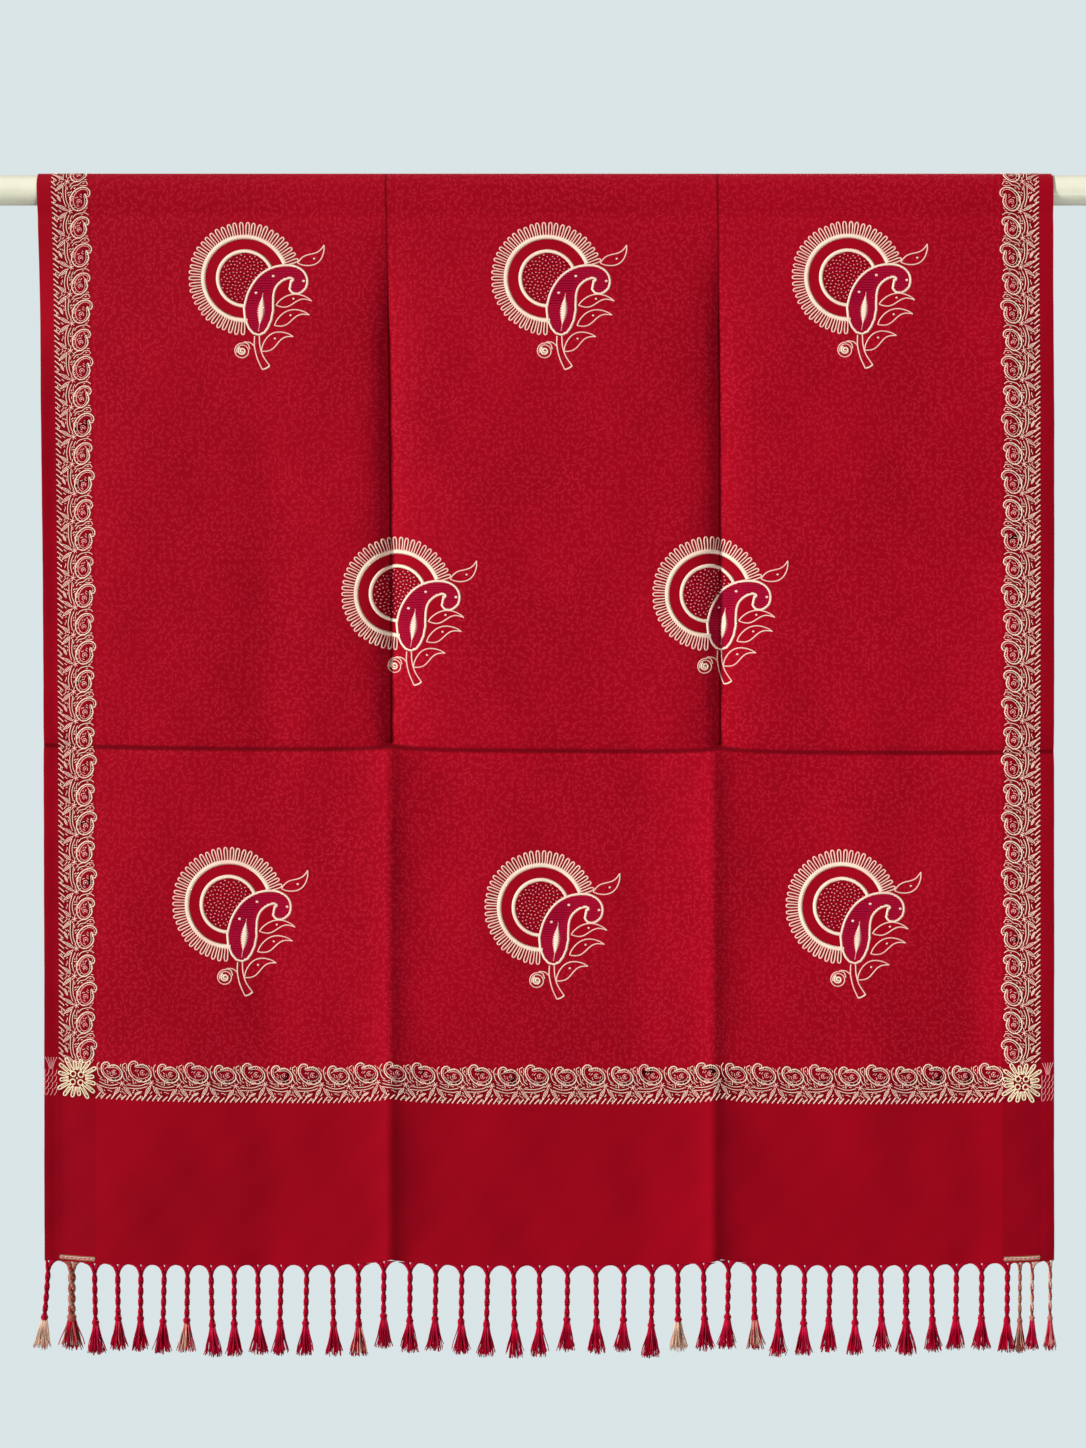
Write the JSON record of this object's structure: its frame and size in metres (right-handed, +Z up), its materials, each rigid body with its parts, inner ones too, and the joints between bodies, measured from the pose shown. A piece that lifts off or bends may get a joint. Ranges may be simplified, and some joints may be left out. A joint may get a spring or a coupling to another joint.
{
  "type": "wool shawl on a rod",
  "caption": "Rectangular woven shawl with knotted end fringes, hung in two drops over a plain round rod.",
  "frame": {"origin": "on the rod's axis, at the middle of its length, where the rod is held", "axes": "+X along the rod, to the right as seen from the front; -Y towards the front; +Z up"},
  "size_m": [1.2, 0.0612, 1.189],
  "materials": {
    "cloth": "fine wool twill with a soft sheen, cream brocade motifs",
    "fringe": "twisted wool yarn",
    "rod": "smooth cream gloss paint"
  },
  "bodies": {
    "root": {"rod": "rod", "rod_turn": "cloth", "front_drop": "cloth", "back_drop": "cloth", "front_fringe": "fringe", "back_fringe": "fringe"}
  },
  "joints": []
}
